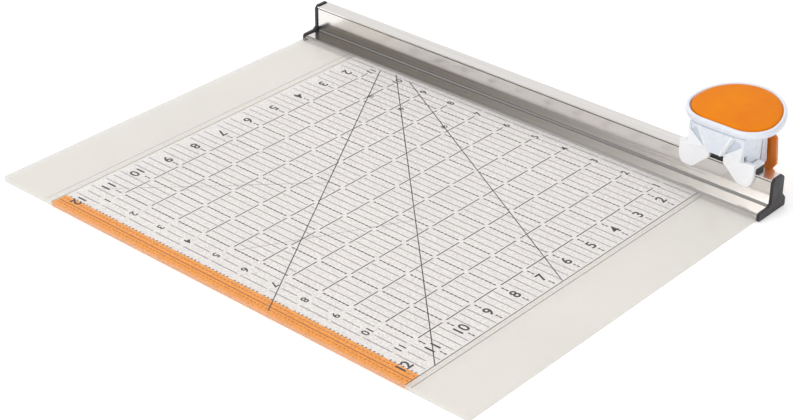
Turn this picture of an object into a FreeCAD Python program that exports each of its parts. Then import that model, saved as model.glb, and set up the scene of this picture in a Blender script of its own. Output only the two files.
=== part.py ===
import FreeCAD, Part
import math
import os
import Sketcher

# A 12 inch clear cutting ruler with an aluminium guide rail along one long edge and
# a rotary cutter carriage that runs on the rail.  Millimetres, +Z up.  The origin is
# the centre of the ruler plate's underside, X runs along the rail, +Y towards it.

doc = FreeCAD.newDocument("rail_cutter_ruler")
dims = doc.addObject("Spreadsheet::Sheet", "dims")

DIMENSIONS = [
    ("plate_length", 402.0), ("plate_width", 315.0), ("plate_thick", 3.0),
    ("plate_corner", 2.0),
    # guide rail section
    ("flange_front", 132.0), ("flange_top", 4.8), ("flange_nose", 3.9),
    ("wall_front", 146.0), ("wall_back", 157.5), ("wall_top", 24.0),
    ("rail_skin", 1.8), ("lip_back", 160.0), ("lip_top", 6.0), ("shoulder_top", 9.5),
    ("groove_low", 13.0), ("groove_high", 16.0), ("groove_depth", 2.2),
    ("scribe_low", 22.3), ("scribe_high", 22.9), ("scribe_depth", 0.5),
    ("rail_mid", 151.75),
    # end caps
    ("cap_thick", 2.2), ("cap_over", 0.8), ("cap_back", 162.3), ("cap_peg", 10.0),
    # screws
    ("screw_pitch", 80.0), ("screw_radius", 1.5), ("screw_head", 2.9),
    # carriage
    ("carriage_x", 160.0), ("block_low", 24.6), ("block_top", 27.5), ("block_half", 18.5),
    ("block_front", 146.2), ("block_back", 159.8), ("leg_inner", 9.0), ("leg_low", 12.0),
    ("leg_front", 157.8), ("tongue_front", 155.6), ("tongue_low", 13.2),
    ("tongue_high", 15.8), ("lug_top", 34.0), ("lug_back", 148.3), ("lug_inner", 8.5),
    ("foot_front", 142.8), ("foot_thick", 3.0), ("foot_half", 28.8), ("foot_inner", 5.3),
    ("foot_top", 31.0), ("foot_tongue", 35.7), ("foot_low", 14.0),
    ("post_offset", 14.0), ("post_radius", 2.0), ("post_head", 3.6), ("post_stop", 43.05),
    ("post_top", 44.3),
    ("ledge_inner", 23.5), ("ledge_outer", 28.5), ("ledge_back", 156.5), ("ledge_low", 27.2),
    ("ledge_high", 28.9),
    # handle
    ("travel", 4.0), ("tilt_slope", 0.1325), ("tilt_angle", 7.55),
    ("shell_front", 140.9), ("shell_half", 21.0), ("shell_wide", 23.0),
    ("shell_turn", 150.0), ("shell_back", 159.9), ("shell_wall", 2.0),
    ("shell_low", 22.5), ("shell_sill", 31.5), ("shell_notch", 35.3), ("shell_over", 28.6),
    ("web_low", 40.0), ("web_high", 43.0), ("seat_front", 141.0), ("seat_height", 47.4),
    ("panel_proud", 0.9), ("panel_low", 4.6), ("panel_high", 12.2),
    ("rim_grow", 3.1), ("rim_height", 5.2), ("rim_floor", 1.8),
    ("pad_half", 30.9), ("pad_flat", 11.0), ("pad_corner", 18.1), ("pad_rear", 32.1),
    ("pad_thick", 3.7), ("pad_gap", 0.25), ("pad_round", 1.2), ("pad_setback", 2.6),
    # blade and its holder
    ("blade_height", 26.5), ("blade_radius", 22.5), ("blade_bore", 4.05),
    ("blade_thick", 0.3), ("blade_face", 160.3), ("blade_bevel", 0.7),
    ("holder_front", 161.4), ("holder_plate", 164.4), ("holder_back", 169.0),
    ("cheek_back", 168.4), ("cheek_top", 165.2),
    ("holder_low", 18.0), ("holder_nose", 13.0), ("stud_radius", 2.5), ("bolt_head", 6.5),
    ("bolt_shank", 4.0), ("washer_radius", 7.5), ("nut_radius", 8.0), ("nut_back", 169.0),
    # guard
    ("hinge_back", 172.0), ("hinge_height", 44.0), ("hinge_radius", 2.5),
    ("hinge_pin", 1.0), ("lug_half", 20.8), ("knuckle_half", 17.7), ("guard_front", 171.0),
    ("guard_thick", 2.2), ("guard_half", 28.8), ("guard_top", 41.2), ("guard_shoulder", 20.6),
    ("guard_waist", 25.8), ("guard_waist_z", 16.1), ("guard_lip", 27.3), ("guard_lip_z", 14.4),
    ("guard_head", 27.2),
    ("guard_low", 9.4), ("guard_low_half", 23.3),
]
for row, (alias, number) in enumerate(DIMENSIONS, start=1):
    dims.set(f"A{row}", alias)
    dims.set(f"B{row}", str(number))
    dims.setAlias(f"B{row}", alias)
doc.recompute()

V = FreeCAD.Vector
X, Y, Z = V(1, 0, 0), V(0, 1, 0), V(0, 0, 1)
parts = []


def num(alias):
    return float(dims.get(alias))


# ---------------------------------------------------------------- building helpers
def new_body(label, at=None):
    body = doc.addObject("PartDesign::Body", label)
    body.Label = label
    body.Placement = FreeCAD.Placement(V(0, 0, 0), FreeCAD.Rotation())
    if at:
        body.setExpression("Placement.Base.x", at)
    parts.append(body)
    return body


def outline(body, name, role, points, offset=None):
    """A closed polygon on one of the body's origin planes, each corner bound to the sheet."""
    sketch = body.newObject("Sketcher::SketchObject", name)
    plane = [f for f in body.Origin.OriginFeatures if f.Role == role][0]
    sketch.AttachmentSupport = [(plane, "")]
    sketch.MapMode = "FlatFace"
    if offset:
        sketch.setExpression("AttachmentOffset.Base.z", offset)
    corners = [(float(dims.evalExpression(a)), float(dims.evalExpression(b)))
               for a, b in points]
    count = len(points)
    for i in range(count):
        here = V(*corners[i], 0)
        there = V(*corners[(i + 1) % count], 0)
        sketch.addGeometry(Part.LineSegment(here, there))
    for i in range(count):
        sketch.addConstraint(Sketcher.Constraint("Coincident", i, 2, (i + 1) % count, 1))
    for i in range(count):
        for kind, side in (("DistanceX", 0), ("DistanceY", 1)):
            made = Sketcher.Constraint(kind, -1, 1, i, 1, corners[i][side])
            index = sketch.addConstraint(made)
            sketch.setExpression(f"Constraints[{index}]", points[i][side])
    return sketch


def circle(body, name, role, centre, radius, offset=None):
    sketch = body.newObject("Sketcher::SketchObject", name)
    plane = [f for f in body.Origin.OriginFeatures if f.Role == role][0]
    sketch.AttachmentSupport = [(plane, "")]
    sketch.MapMode = "FlatFace"
    if offset:
        sketch.setExpression("AttachmentOffset.Base.z", offset)
    for index, (a, b) in enumerate(centre):
        spot = (float(dims.evalExpression(a)), float(dims.evalExpression(b)))
        size = float(dims.evalExpression(radius))
        sketch.addGeometry(Part.Circle(V(*spot, 0), Z, size))
        for kind, value, text in (("DistanceX", spot[0], a), ("DistanceY", spot[1], b)):
            made = sketch.addConstraint(Sketcher.Constraint(kind, -1, 1, index, 3, value))
            sketch.setExpression(f"Constraints[{made}]", text)
        made = sketch.addConstraint(Sketcher.Constraint("Radius", index, size))
        sketch.setExpression(f"Constraints[{made}]", radius)
    return sketch


def pad(body, sketch, length, symmetric=False, reverse=False):
    feature = body.newObject("PartDesign::Pad", sketch.Name + "_pad")
    feature.Profile = sketch
    feature.setExpression("Length", length)
    if symmetric:
        feature.SideType = "Symmetric"
    feature.Reversed = reverse
    sketch.Visibility = False
    return feature


def pocket(body, sketch, length, symmetric=False, reverse=False):
    doc.recompute()
    before = body.Shape.Volume
    feature = body.newObject("PartDesign::Pocket", sketch.Name + "_cut")
    feature.Profile = sketch
    feature.setExpression("Length", length)
    if symmetric:
        feature.SideType = "Symmetric"
    feature.Reversed = reverse
    doc.recompute()
    if body.Shape.Volume > before - 1e-3:
        raise RuntimeError(f"{sketch.Name} removed nothing from {body.Label}")
    return feature


def spin(body, sketch, axis="V_Axis"):
    feature = body.newObject("PartDesign::Revolution", sketch.Name + "_turn")
    feature.Profile = sketch
    feature.ReferenceAxis = (sketch, [axis])
    feature.Angle = 360.0
    return feature


def soften(body, base, size, wanted, kind="Fillet"):
    """Fillets or chamfers the edges of the body whose middle passes the test."""
    doc.recompute()
    names = []
    for index, edge in enumerate(base.Shape.Edges, start=1):
        middle = edge.valueAt((edge.FirstParameter + edge.LastParameter) / 2)
        if wanted(edge, middle):
            names.append(f"Edge{index}")
    feature = body.newObject(f"PartDesign::{kind}", f"{base.Name}_{kind.lower()}")
    feature.Base = (base, names)
    if kind == "Fillet":
        feature.Radius = size
    else:
        feature.Size = size
    return feature


def solid(label, shape, base=V(0, 0, 0), tilt=0.0):
    feature = doc.addObject("Part::Feature", label)
    feature.Label = label
    feature.Shape = shape
    feature.Placement = FreeCAD.Placement(base, FreeCAD.Rotation(X, tilt))
    parts.append(feature)
    return feature


def turned(profile, base, axis):
    """A solid turned about the axis at base; profile is (radius, distance along it) pairs."""
    points = [V(r, 0, d) for r, d in profile]
    face = Part.Face(Part.makePolygon(points + points[:1]))
    shape = face.revolve(V(0, 0, 0), Z, 360)
    shape.Placement = FreeCAD.Placement(base, FreeCAD.Rotation(Z, axis))
    return shape


def along(edge, direction):
    return abs(edge.tangentAt(edge.FirstParameter).dot(direction)) > 0.999


# ---------------------------------------------------------------- ruler plate
plate = new_body("ruler_plate")
half_x, half_y = "dims.plate_length/2", "dims.plate_width/2"
sheet_outline = outline(plate, "plate_outline", "XY_Plane", [
    ("-" + half_x, "-" + half_y), (half_x, "-" + half_y), (half_x, half_y),
    ("-" + half_x, half_y)])
sheet = pad(plate, sheet_outline, "dims.plate_thick")
soften(plate, sheet, num("plate_corner"), lambda e, m: along(e, Z))
screw_spots = [(f"{k}*dims.screw_pitch", "dims.rail_mid") for k in range(-2, 3)]
doc.recompute()
pocket(plate, circle(plate, "screw_bores", "XY_Plane", screw_spots,
                     "dims.screw_radius+0.1"), "dims.plate_thick", reverse=True)
pocket(plate, circle(plate, "screw_sinks", "XY_Plane", screw_spots,
                     "dims.screw_head+0.1"), "1.8", reverse=True)

# ---------------------------------------------------------------- guide rail
rail = new_body("guide_rail")
profile = outline(rail, "rail_profile", "YZ_Plane", [
    ("dims.flange_front", "dims.plate_thick"), ("dims.wall_back", "dims.plate_thick"),
    ("dims.wall_back", "0"), ("dims.lip_back", "0"), ("dims.lip_back", "dims.lip_top"),
    ("dims.wall_back", "dims.shoulder_top"), ("dims.wall_back", "dims.groove_low"),
    ("dims.wall_back-dims.groove_depth", "dims.groove_low"),
    ("dims.wall_back-dims.groove_depth", "dims.groove_high"),
    ("dims.wall_back", "dims.groove_high"), ("dims.wall_back", "dims.wall_top"),
    ("dims.wall_front", "dims.wall_top"), ("dims.wall_front", "dims.scribe_high"),
    ("dims.wall_front+dims.scribe_depth", "dims.scribe_high"),
    ("dims.wall_front+dims.scribe_depth", "dims.scribe_low"),
    ("dims.wall_front", "dims.scribe_low"),
    ("dims.wall_front", "dims.flange_top+0.9"), ("dims.wall_front-0.9", "dims.flange_top"),
    ("dims.flange_front+0.9", "dims.flange_top"), ("dims.flange_front", "dims.flange_nose")])
pad(rail, profile, "dims.plate_length", symmetric=True)
inner_back = "dims.wall_back-dims.rail_skin"
step_back = "dims.wall_back-dims.groove_depth-dims.rail_skin"
inner_front = "dims.wall_front+dims.rail_skin"
inner_low, inner_high = "dims.flange_top", "dims.wall_top-dims.rail_skin"
pocket(rail, outline(rail, "rail_hollow", "YZ_Plane", [
    (inner_front, inner_low), (inner_back, inner_low),
    (inner_back, "dims.groove_low-2"), (step_back, "dims.groove_low-1.5"),
    (step_back, "dims.groove_high+1.5"), (inner_back, "dims.groove_high+2"),
    (inner_back, inner_high), (inner_front, inner_high)]),
    "dims.plate_length+2", symmetric=True)
pocket(rail, circle(rail, "rail_bores", "XY_Plane", screw_spots,
                    "dims.screw_radius+0.05"), "dims.flange_top+0.5", reverse=True)

# ---------------------------------------------------------------- end caps
for side, name in ((-1, "end_cap_left"), (1, "end_cap_right")):
    cap = new_body(name)
    over = "dims.cap_over"
    cap_profile = outline(cap, name + "_profile", "YZ_Plane", [
        ("dims.flange_front-0.4", "0.3"), ("dims.cap_back-0.6", "0"),
        ("dims.cap_back", "0.6"), ("dims.cap_back", "dims.lip_top-0.2"),
        ("dims.cap_back-1", f"dims.lip_top+{over}"),
        (f"dims.wall_back+{over}", "dims.shoulder_top+0.7"),
        (f"dims.wall_back+{over}", "dims.wall_top-1.6"),
        ("dims.wall_back-1.4", f"dims.wall_top+{over}"),
        ("dims.wall_front+1.4", f"dims.wall_top+{over}"),
        (f"dims.wall_front-{over}", "dims.wall_top-1.6"),
        (f"dims.wall_front-{over}", "dims.flange_top+3.2"),
        ("dims.wall_front-3.4", f"dims.flange_top+{over}+0.3"),
        ("dims.flange_front+0.8", f"dims.flange_top+{over}"),
        ("dims.flange_front-0.4", "dims.flange_nose+0.4")],
        f"{side}*(dims.plate_length/2+dims.cap_thick/2)")
    pad(cap, cap_profile, "dims.cap_thick", symmetric=True)
    peg = outline(cap, name + "_peg", "YZ_Plane", [
        (inner_front + "+0.3", inner_low + "+0.4"), (step_back + "-0.3", inner_low + "+0.4"),
        (step_back + "-0.3", inner_high + "-0.3"), (inner_front + "+0.3", inner_high + "-0.3")],
        f"{side}*(dims.plate_length/2-dims.cap_peg)")
    pad(cap, peg, "dims.cap_peg+0.5", reverse=(side < 0))

# ---------------------------------------------------------------- rail screws
radius, head = num("screw_radius"), num("screw_head")
screw = [(0, 0.2), (head, 0.2), (radius, 1.7), (radius, 8.6), (0, 8.6)]
rail_screws = [turned(screw, V(k * num("screw_pitch"), num("rail_mid"), 0), Z)
               for k in range(-2, 3)]
solid("rail_screws", Part.makeCompound(rail_screws))

# ---------------------------------------------------------------- slide block
at = "dims.carriage_x"
block = new_body("slide_block", at)
wide = "dims.block_half"
pad(block, outline(block, "block_top", "XY_Plane", [
    ("-" + wide, "dims.block_front"), (wide, "dims.block_front"),
    (wide, "dims.block_back"), ("dims.leg_inner", "dims.block_back"),
    ("dims.leg_inner", "dims.leg_front-0.2"), ("-dims.leg_inner", "dims.leg_front-0.2"),
    ("-dims.leg_inner", "dims.block_back"), ("-" + wide, "dims.block_back")],
    "dims.block_low"), "dims.block_top-dims.block_low")
for sign, tag in (("-", "left"), ("", "right")):
    pad(block, outline(block, f"leg_{tag}", "YZ_Plane", [
        ("dims.leg_front", "dims.leg_low"), ("dims.block_back", "dims.leg_low"),
        ("dims.block_back", "dims.block_top"), ("dims.leg_front", "dims.block_top"),
        ("dims.leg_front", "dims.tongue_high"), ("dims.tongue_front", "dims.tongue_high"),
        ("dims.tongue_front", "dims.tongue_low"), ("dims.leg_front", "dims.tongue_low")],
        f"{sign}(dims.leg_inner+dims.block_half)/2"),
        "dims.block_half-dims.leg_inner", symmetric=True)
    pad(block, outline(block, f"lug_{tag}", "YZ_Plane", [
        ("dims.foot_front+dims.foot_thick", "dims.block_low"),
        ("dims.lug_back", "dims.block_low"), ("dims.lug_back", "dims.lug_top"),
        ("dims.foot_front+dims.foot_thick", "dims.lug_top")],
        f"{sign}(dims.lug_inner+dims.block_half)/2"),
        "dims.block_half-dims.lug_inner", symmetric=True)

# ---------------------------------------------------------------- glide pads
top_glides = []
for dx in (-1, 1):
    pad_box = Part.makeBox(8, 9, num("block_low") - num("wall_top") - 0.05,
                           V(dx * 12 - 4, 147.2, num("wall_top") + 0.05))
    top_glides.append(pad_box)
solid("top_glide_pads", Part.makeCompound(top_glides), V(num("carriage_x"), 0, 0))
side_glides = []
for dx in (-1, 1):
    back = num("leg_front")
    side_glides.append(Part.makeBox(7, back - num("wall_back") - 0.05, 4,
                                    V(dx * 13.75 - 3.5, num("wall_back") + 0.05, 18.5)))
solid("side_glide_pads", Part.makeCompound(side_glides), V(num("carriage_x"), 0, 0))

# ---------------------------------------------------------------- guide feet
for sign, name in (("-", "guide_foot_left"), ("", "guide_foot_right")):
    foot = new_body(name, at)
    corners = [
        ("dims.foot_half", "dims.foot_top"), ("dims.foot_half", "dims.foot_low+7"),
        ("dims.foot_half-1.2", "dims.foot_low+3"), ("dims.foot_half-3", "dims.foot_low+0.7"),
        ("dims.foot_half-5", "dims.foot_low"), ("dims.foot_half-10.3", "dims.foot_low"),
        ("dims.foot_half-12.7", "dims.foot_low+1"), ("dims.foot_half-18", "dims.foot_low+6.4"),
        ("dims.foot_inner+0.6", "dims.foot_low+10.6"), ("dims.foot_inner", "dims.foot_low+12"),
        ("dims.foot_inner", "dims.foot_top"), ("dims.lug_inner", "dims.foot_top"),
        ("dims.lug_inner", "dims.foot_tongue"), ("dims.block_half+0.2", "dims.foot_tongue"),
        ("dims.block_half+0.2", "dims.foot_top")]
    face = outline(foot, name + "_face", "XZ_Plane",
                   [(f"{sign}({a})", b) for a, b in corners],
                   "-(dims.foot_front+dims.foot_thick)")
    blank = pad(foot, face, "dims.foot_thick")
    front = num("foot_front")
    soften(foot, blank, 0.8, lambda e, m: abs(m.y - front) < 1e-3 and m.z < 30.9)

ledges, runners = [], []
for dx in (-num("ledge_outer"), num("ledge_inner")):
    broad = num("ledge_outer") - num("ledge_inner")
    foot_back = num("foot_front") + num("foot_thick")
    deep = num("ledge_back") - foot_back
    ledges.append(Part.makeBox(broad, deep, num("ledge_high") - num("ledge_low"),
                               V(dx, foot_back, num("ledge_low"))))
    runners.append(Part.makeBox(broad, deep - 0.6, num("ledge_low") - num("wall_top") - 0.05,
                                V(dx, foot_back + 0.4, num("wall_top") + 0.05)))
solid("foot_ledges", Part.makeCompound(ledges), V(num("carriage_x"), 0, 0))
solid("edge_runners", Part.makeCompound(runners), V(num("carriage_x"), 0, 0))

foot_screw = [(0, 0), (2.1, 0), (1.1, 1.1), (1.1, 5.2), (0, 5.2)]
foot_screws = [turned(foot_screw, V(dx * 14.5, num("foot_front") + 0.05, 32.6), Y)
               for dx in (-1, 1)]
solid("foot_screws", Part.makeCompound(foot_screws), V(num("carriage_x"), 0, 0))

# ---------------------------------------------------------------- posts and springs
low, stop, top = num("block_low") + 0.4, num("post_stop"), num("post_top")
slim, broad = num("post_radius"), num("post_head")
post = [(0, low), (slim, low), (slim, stop), (broad, stop), (broad, top - 0.4),
        (broad - 0.4, top), (0, top)]
posts = [turned(post, V(dx * num("post_offset"), num("rail_mid"), 0), Z) for dx in (-1, 1)]
solid("guide_posts", Part.makeCompound(posts), V(num("carriage_x"), 0, 0))
bottom, height = num("block_top") + 0.3, num("web_low") - num("block_top") - 0.6
wire = 0.35
coil_radius = num("post_radius") + 0.85
for dx, name in ((-1, "return_spring_left"), (1, "return_spring_right")):
    path = Part.makeHelix((height - 2 * wire) / 6, height - 2 * wire, coil_radius)
    ring = Part.Wire(Part.makeCircle(wire, V(coil_radius, 0, 0), Y))
    coil = Part.Wire(path).makePipeShell([ring], True, True)
    solid(name, coil, V(num("carriage_x") + dx * num("post_offset"), num("rail_mid"),
                        bottom + wire))

# ---------------------------------------------------------------- handle shell
shell = new_body("handle_shell", at)
outer = [
    ("-dims.shell_half", "dims.shell_front"), ("dims.shell_half", "dims.shell_front"),
    ("dims.shell_wide", "dims.shell_turn"), ("dims.shell_wide", "dims.shell_back"),
    ("-dims.shell_wide", "dims.shell_back"), ("-dims.shell_wide", "dims.shell_turn")]
pad(shell, outline(shell, "shell_plan", "XY_Plane", outer, "dims.shell_low"), "32")
wall = "dims.shell_wall"
room = [
    (f"-dims.shell_half+{wall}", f"dims.shell_front+{wall}-0.4"),
    (f"dims.shell_half-{wall}", f"dims.shell_front+{wall}-0.4"),
    (f"dims.shell_wide-{wall}", "dims.shell_turn"),
    (f"dims.shell_wide-{wall}", "dims.shell_back-1.6"),
    (f"-dims.shell_wide+{wall}", "dims.shell_back-1.6"),
    (f"-dims.shell_wide+{wall}", "dims.shell_turn")]
pocket(shell, outline(shell, "shell_room_low", "XY_Plane", room, "dims.shell_low-1"),
       "dims.web_low-dims.shell_low+1", reverse=True)
pocket(shell, outline(shell, "shell_room_high", "XY_Plane", room, "dims.web_high"),
       "20", reverse=True)
pocket(shell, outline(shell, "shell_under", "YZ_Plane", [
    ("135", "10"), ("135", "dims.shell_sill"), ("dims.shell_front+1.65", "dims.shell_sill"),
    ("dims.shell_front+1.65", "dims.shell_notch"), ("dims.wall_front+0.1", "dims.shell_notch"),
    ("dims.wall_front+0.1", "dims.shell_over"), ("dims.wall_back+0.7", "dims.shell_over"),
    ("dims.wall_back+0.7", "10")]), "80", symmetric=True)
pocket(shell, outline(shell, "shell_back_window", "XZ_Plane", [
    ("-dims.shell_half+0.1", "10"), ("dims.shell_half-0.1", "10"),
    ("dims.shell_half-0.1", "34.5"), ("-dims.shell_half+0.1", "34.5")],
    "-dims.shell_back-1"), "3.2", reverse=True)
boss_spots = [("-16.4", "146.6"), ("16.4", "146.6"), ("-9.5", "155.6"), ("9.5", "155.6")]
for index, spot in enumerate(boss_spots):
    pad(shell, circle(shell, f"boss_{index}", "XY_Plane", [spot], "2.4", "dims.web_high-0.5"),
        "10")
pocket(shell, outline(shell, "shell_seat", "YZ_Plane", [
    ("135", "dims.seat_height-6*dims.tilt_slope"), ("135", "70"), ("165", "70"),
    ("165", "dims.seat_height+24*dims.tilt_slope")]), "80", symmetric=True)
post_bores = [("-dims.post_offset", "dims.rail_mid"), ("dims.post_offset", "dims.rail_mid")]
pocket(shell, circle(shell, "post_bores", "XY_Plane", post_bores, "dims.post_radius+0.06",
                     "dims.web_low-1"), "5", reverse=True)
pocket(shell, circle(shell, "head_rooms", "XY_Plane", post_bores, "dims.post_head+0.3",
                     "dims.web_high"), "12", reverse=True)
panel = outline(shell, "front_panel", "XZ_Plane", [
    ("-dims.panel_low", "dims.shell_sill-0.5"), ("dims.panel_low", "dims.shell_sill-0.5"),
    ("dims.panel_high", "dims.seat_height-0.15"), ("-dims.panel_high", "dims.seat_height-0.15")],
    "-dims.shell_front-0.5")
pad(shell, panel, "dims.panel_proud+0.5")
for sign, tag in (("-", "left"), ("", "right")):
    recess = outline(shell, f"recess_{tag}", "XZ_Plane", [
        (f"{sign}(dims.panel_high+1)", "dims.seat_height-1"),
        (f"{sign}(dims.shell_half-1.6)", "dims.seat_height-1"),
        (f"{sign}(dims.shell_half-1.6)", "dims.seat_height-12"),
        (f"{sign}(dims.panel_low+2.6)", "dims.shell_sill+1.5")], "-dims.shell_front-0.8")
    pocket(shell, recess, "3", reverse=True)


# ---------------------------------------------------------------- rim and grip pad
def egg(grow, lift, flat, half, corner, rear, setback):
    """Closed outline: straight front, elliptic corners and an elliptic rear."""
    spots = []
    reach = half - flat + grow
    for k in range(0, 13):
        turn = math.pi / 24 * k
        spots.append((flat + reach * math.sin(turn), corner - (corner + grow) * math.cos(turn)))
    for k in range(1, 24):
        turn = math.pi / 24 * k
        spots.append(((half + grow) * math.cos(turn), corner + (rear + grow) * math.sin(turn)))
    for k in range(12, -1, -1):
        turn = math.pi / 24 * k
        spots.append((-flat - reach * math.sin(turn), corner - (corner + grow) * math.cos(turn)))
    for fraction in (-0.6, -0.2, 0.2, 0.6):
        spots.append((flat * fraction, -grow))
    curve = Part.BSplineCurve()
    curve.interpolate(Points=[V(a, b + setback, lift) for a, b in spots], PeriodicFlag=True)
    return Part.Face(Part.Wire(curve.toShape()))


shape = (num("pad_flat"), num("pad_half"), num("pad_corner"), num("pad_rear"),
         num("pad_setback"))
ring_grow, ring_height, floor = num("rim_grow"), num("rim_height"), num("rim_floor")
tilted = num("tilt_angle")
seat_at = V(num("carriage_x"), num("seat_front"), num("seat_height"))
tray = egg(ring_grow, 0.0, *shape).extrude(Z * ring_height)
well = egg(0.0, floor, *shape).extrude(Z * ring_height)
solid("handle_rim", tray.cut(well), seat_at, tilted)
grip = egg(-num("pad_gap"), floor, *shape).extrude(Z * num("pad_thick"))
crown = max(grip.Faces, key=lambda f: f.CenterOfMass.z)
grip = grip.makeFillet(num("pad_round"), crown.Edges)
solid("grip_pad", grip, seat_at, tilted)
cap_screw = [(0, -6.5), (1.0, -6.5), (1.0, floor - 1.2), (2.0, floor - 0.2),
             (0, floor - 0.2)]
cap_spots = [(-16.4, 5.5), (16.4, 5.5), (-9.5, 14.6), (9.5, 14.6), (-17.0, 25.6), (17.0, 25.6)]
cap_screws = [turned(cap_screw, V(a, b, 0), Z) for a, b in cap_spots]
solid("handle_screws", Part.makeCompound(cap_screws), seat_at, tilted)

# ---------------------------------------------------------------- blade holder
holder = new_body("blade_holder", at)
pad(holder, outline(holder, "holder_plan", "XY_Plane", [
    ("-dims.shell_wide", "dims.holder_front"), ("dims.shell_wide", "dims.holder_front"),
    ("dims.shell_wide", "dims.holder_plate"), ("-dims.shell_wide", "dims.holder_plate")],
    "dims.shell_low"), "32")
for sign, tag in (("-", "left"), ("", "right")):
    pad(holder, outline(holder, f"holder_cheek_{tag}", "YZ_Plane", [
        ("dims.holder_plate-0.5", "dims.shell_low"), ("dims.cheek_back", "dims.shell_low"),
        ("dims.cheek_back", "dims.shell_low+2"), ("dims.cheek_top", "54"),
        ("dims.holder_plate-0.5", "54")],
        f"{sign}(dims.shell_wide-{wall}/2)"), wall, symmetric=True)
pad(holder, outline(holder, "holder_nose_plate", "XZ_Plane", [
    ("-dims.holder_nose", "dims.shell_low+1"), ("-dims.holder_nose+4", "dims.holder_low"),
    ("dims.holder_nose-4", "dims.holder_low"), ("dims.holder_nose", "dims.shell_low+1")],
    "-dims.holder_plate"), "dims.holder_plate-dims.holder_front")
pad(holder, outline(holder, "holder_roof", "YZ_Plane", [
    ("dims.holder_plate-0.5", "46"), ("dims.holder_back", "46"),
    ("dims.holder_back", "54"), ("dims.holder_plate-0.5", "54")]),
    f"2*(dims.shell_wide-{wall})+0.5", symmetric=True)
for sign, tag in (("-", "left"), ("", "right")):
    r = "dims.hinge_radius"
    cx, cz = "dims.hinge_back", "dims.hinge_height"
    pad(holder, outline(holder, f"hinge_lug_{tag}", "YZ_Plane", [
        ("dims.holder_plate-0.5", f"{cz}-{r}"), (cx, f"{cz}-{r}"),
        (f"{cx}+{r}*0.72", f"{cz}-{r}*0.7"), (f"{cx}+{r}", cz),
        (f"{cx}+{r}*0.72", f"{cz}+{r}*0.7"), (cx, f"{cz}+{r}"),
        ("dims.holder_plate-0.5", f"{cz}+{r}")],
        f"{sign}(dims.lug_half+dims.knuckle_half+0.3)/2"),
        "dims.lug_half-dims.knuckle_half-0.3", symmetric=True)
pocket(holder, outline(holder, "holder_seat", "YZ_Plane", [
    ("155", "dims.seat_height+14*dims.tilt_slope"), ("155", "80"), ("180", "80"),
    ("180", "dims.seat_height+39*dims.tilt_slope")]), "80", symmetric=True)
pocket(holder, circle(holder, "stud_bore", "XZ_Plane", [("0", "dims.blade_height")],
                      "dims.stud_radius+0.05", "-dims.holder_plate-1"), "6", reverse=True)
pocket(holder, circle(holder, "hinge_bore", "YZ_Plane", [("dims.hinge_back", "dims.hinge_height")],
                      "dims.hinge_pin+0.02"), "80", symmetric=True)

# ---------------------------------------------------------------- blade, bolt, washer, nut
def spun_body(label, points):
    body = new_body(label, at)
    body.setExpression("Placement.Base.z", "dims.blade_height")
    spin(body, outline(body, label + "_section", "XY_Plane", points))
    return body


spun_body("rotary_blade", [
    ("dims.blade_bore", "dims.blade_face"),
    ("dims.blade_radius-dims.blade_bevel", "dims.blade_face"),
    ("dims.blade_radius", "dims.blade_face+dims.blade_thick/2"),
    ("dims.blade_radius-dims.blade_bevel", "dims.blade_face+dims.blade_thick"),
    ("dims.blade_bore", "dims.blade_face+dims.blade_thick")])
spun_body("axle_bolt", [
    ("0", "dims.blade_face-1.75"), ("dims.bolt_head-0.5", "dims.blade_face-1.75"),
    ("dims.bolt_head", "dims.blade_face-1.3"), ("dims.bolt_head", "dims.blade_face-0.08"),
    ("dims.bolt_shank", "dims.blade_face-0.08"), ("dims.bolt_shank", "dims.holder_front-0.05"),
    ("dims.stud_radius", "dims.holder_front-0.05"), ("dims.stud_radius", "dims.nut_back+1"),
    ("0", "dims.nut_back+1")])
spun_body("wave_washer", [
    ("dims.bolt_shank+0.1", "dims.blade_face+dims.blade_thick+0.1"),
    ("dims.washer_radius", "dims.blade_face+dims.blade_thick+0.1"),
    ("dims.washer_radius", "dims.holder_front-0.1"),
    ("dims.bolt_shank+0.1", "dims.holder_front-0.1")])
spun_body("blade_nut", [
    ("dims.stud_radius+0.05", "dims.holder_plate+0.05"),
    ("dims.nut_radius", "dims.holder_plate+0.05"), ("dims.nut_radius", "dims.nut_back-0.6"),
    ("dims.nut_radius-0.6", "dims.nut_back"), ("dims.stud_radius+0.05", "dims.nut_back")])

# ---------------------------------------------------------------- hinged blade guard
guard = new_body("blade_guard", at)
right = [
    ("dims.guard_low_half", "dims.guard_low"), ("dims.guard_lip", "dims.guard_lip_z"),
    ("dims.guard_waist", "dims.guard_waist_z"), ("dims.guard_half", "dims.guard_shoulder"),
    ("dims.guard_head", "dims.guard_top-2"), ("dims.guard_head-2", "dims.guard_top")]
left = [("-(" + a + ")", b) for a, b in reversed(right)]
pad(guard, outline(guard, "guard_face", "XZ_Plane", right + left,
                   "-(dims.guard_front+dims.guard_thick)"), "dims.guard_thick")
pad(guard, outline(guard, "guard_lip_bar", "XZ_Plane", [
    ("-dims.guard_low_half", "dims.guard_low"), ("dims.guard_low_half", "dims.guard_low"),
    ("dims.guard_lip", "dims.guard_lip_z"), ("-dims.guard_lip", "dims.guard_lip_z")],
    "-(dims.guard_front+dims.guard_thick+1.2)"), "1.6")
r, cx, cz = "(dims.hinge_radius-0.1)", "dims.hinge_back", "dims.hinge_height"
pad(guard, outline(guard, "guard_knuckle", "YZ_Plane", [
    ("dims.guard_front", "dims.guard_top-1"),
    ("dims.guard_front+dims.guard_thick", "dims.guard_top-1"),
    (f"{cx}+{r}*0.72", f"{cz}-{r}*0.7"), (f"{cx}+{r}", cz), (f"{cx}+{r}*0.72", f"{cz}+{r}*0.7"),
    (cx, f"{cz}+{r}"), (f"{cx}-{r}*0.72", f"{cz}+{r}*0.7"), (f"{cx}-{r}", cz),
    (f"{cx}-{r}*0.72", f"{cz}-{r}*0.7")]), "2*dims.knuckle_half", symmetric=True)
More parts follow.
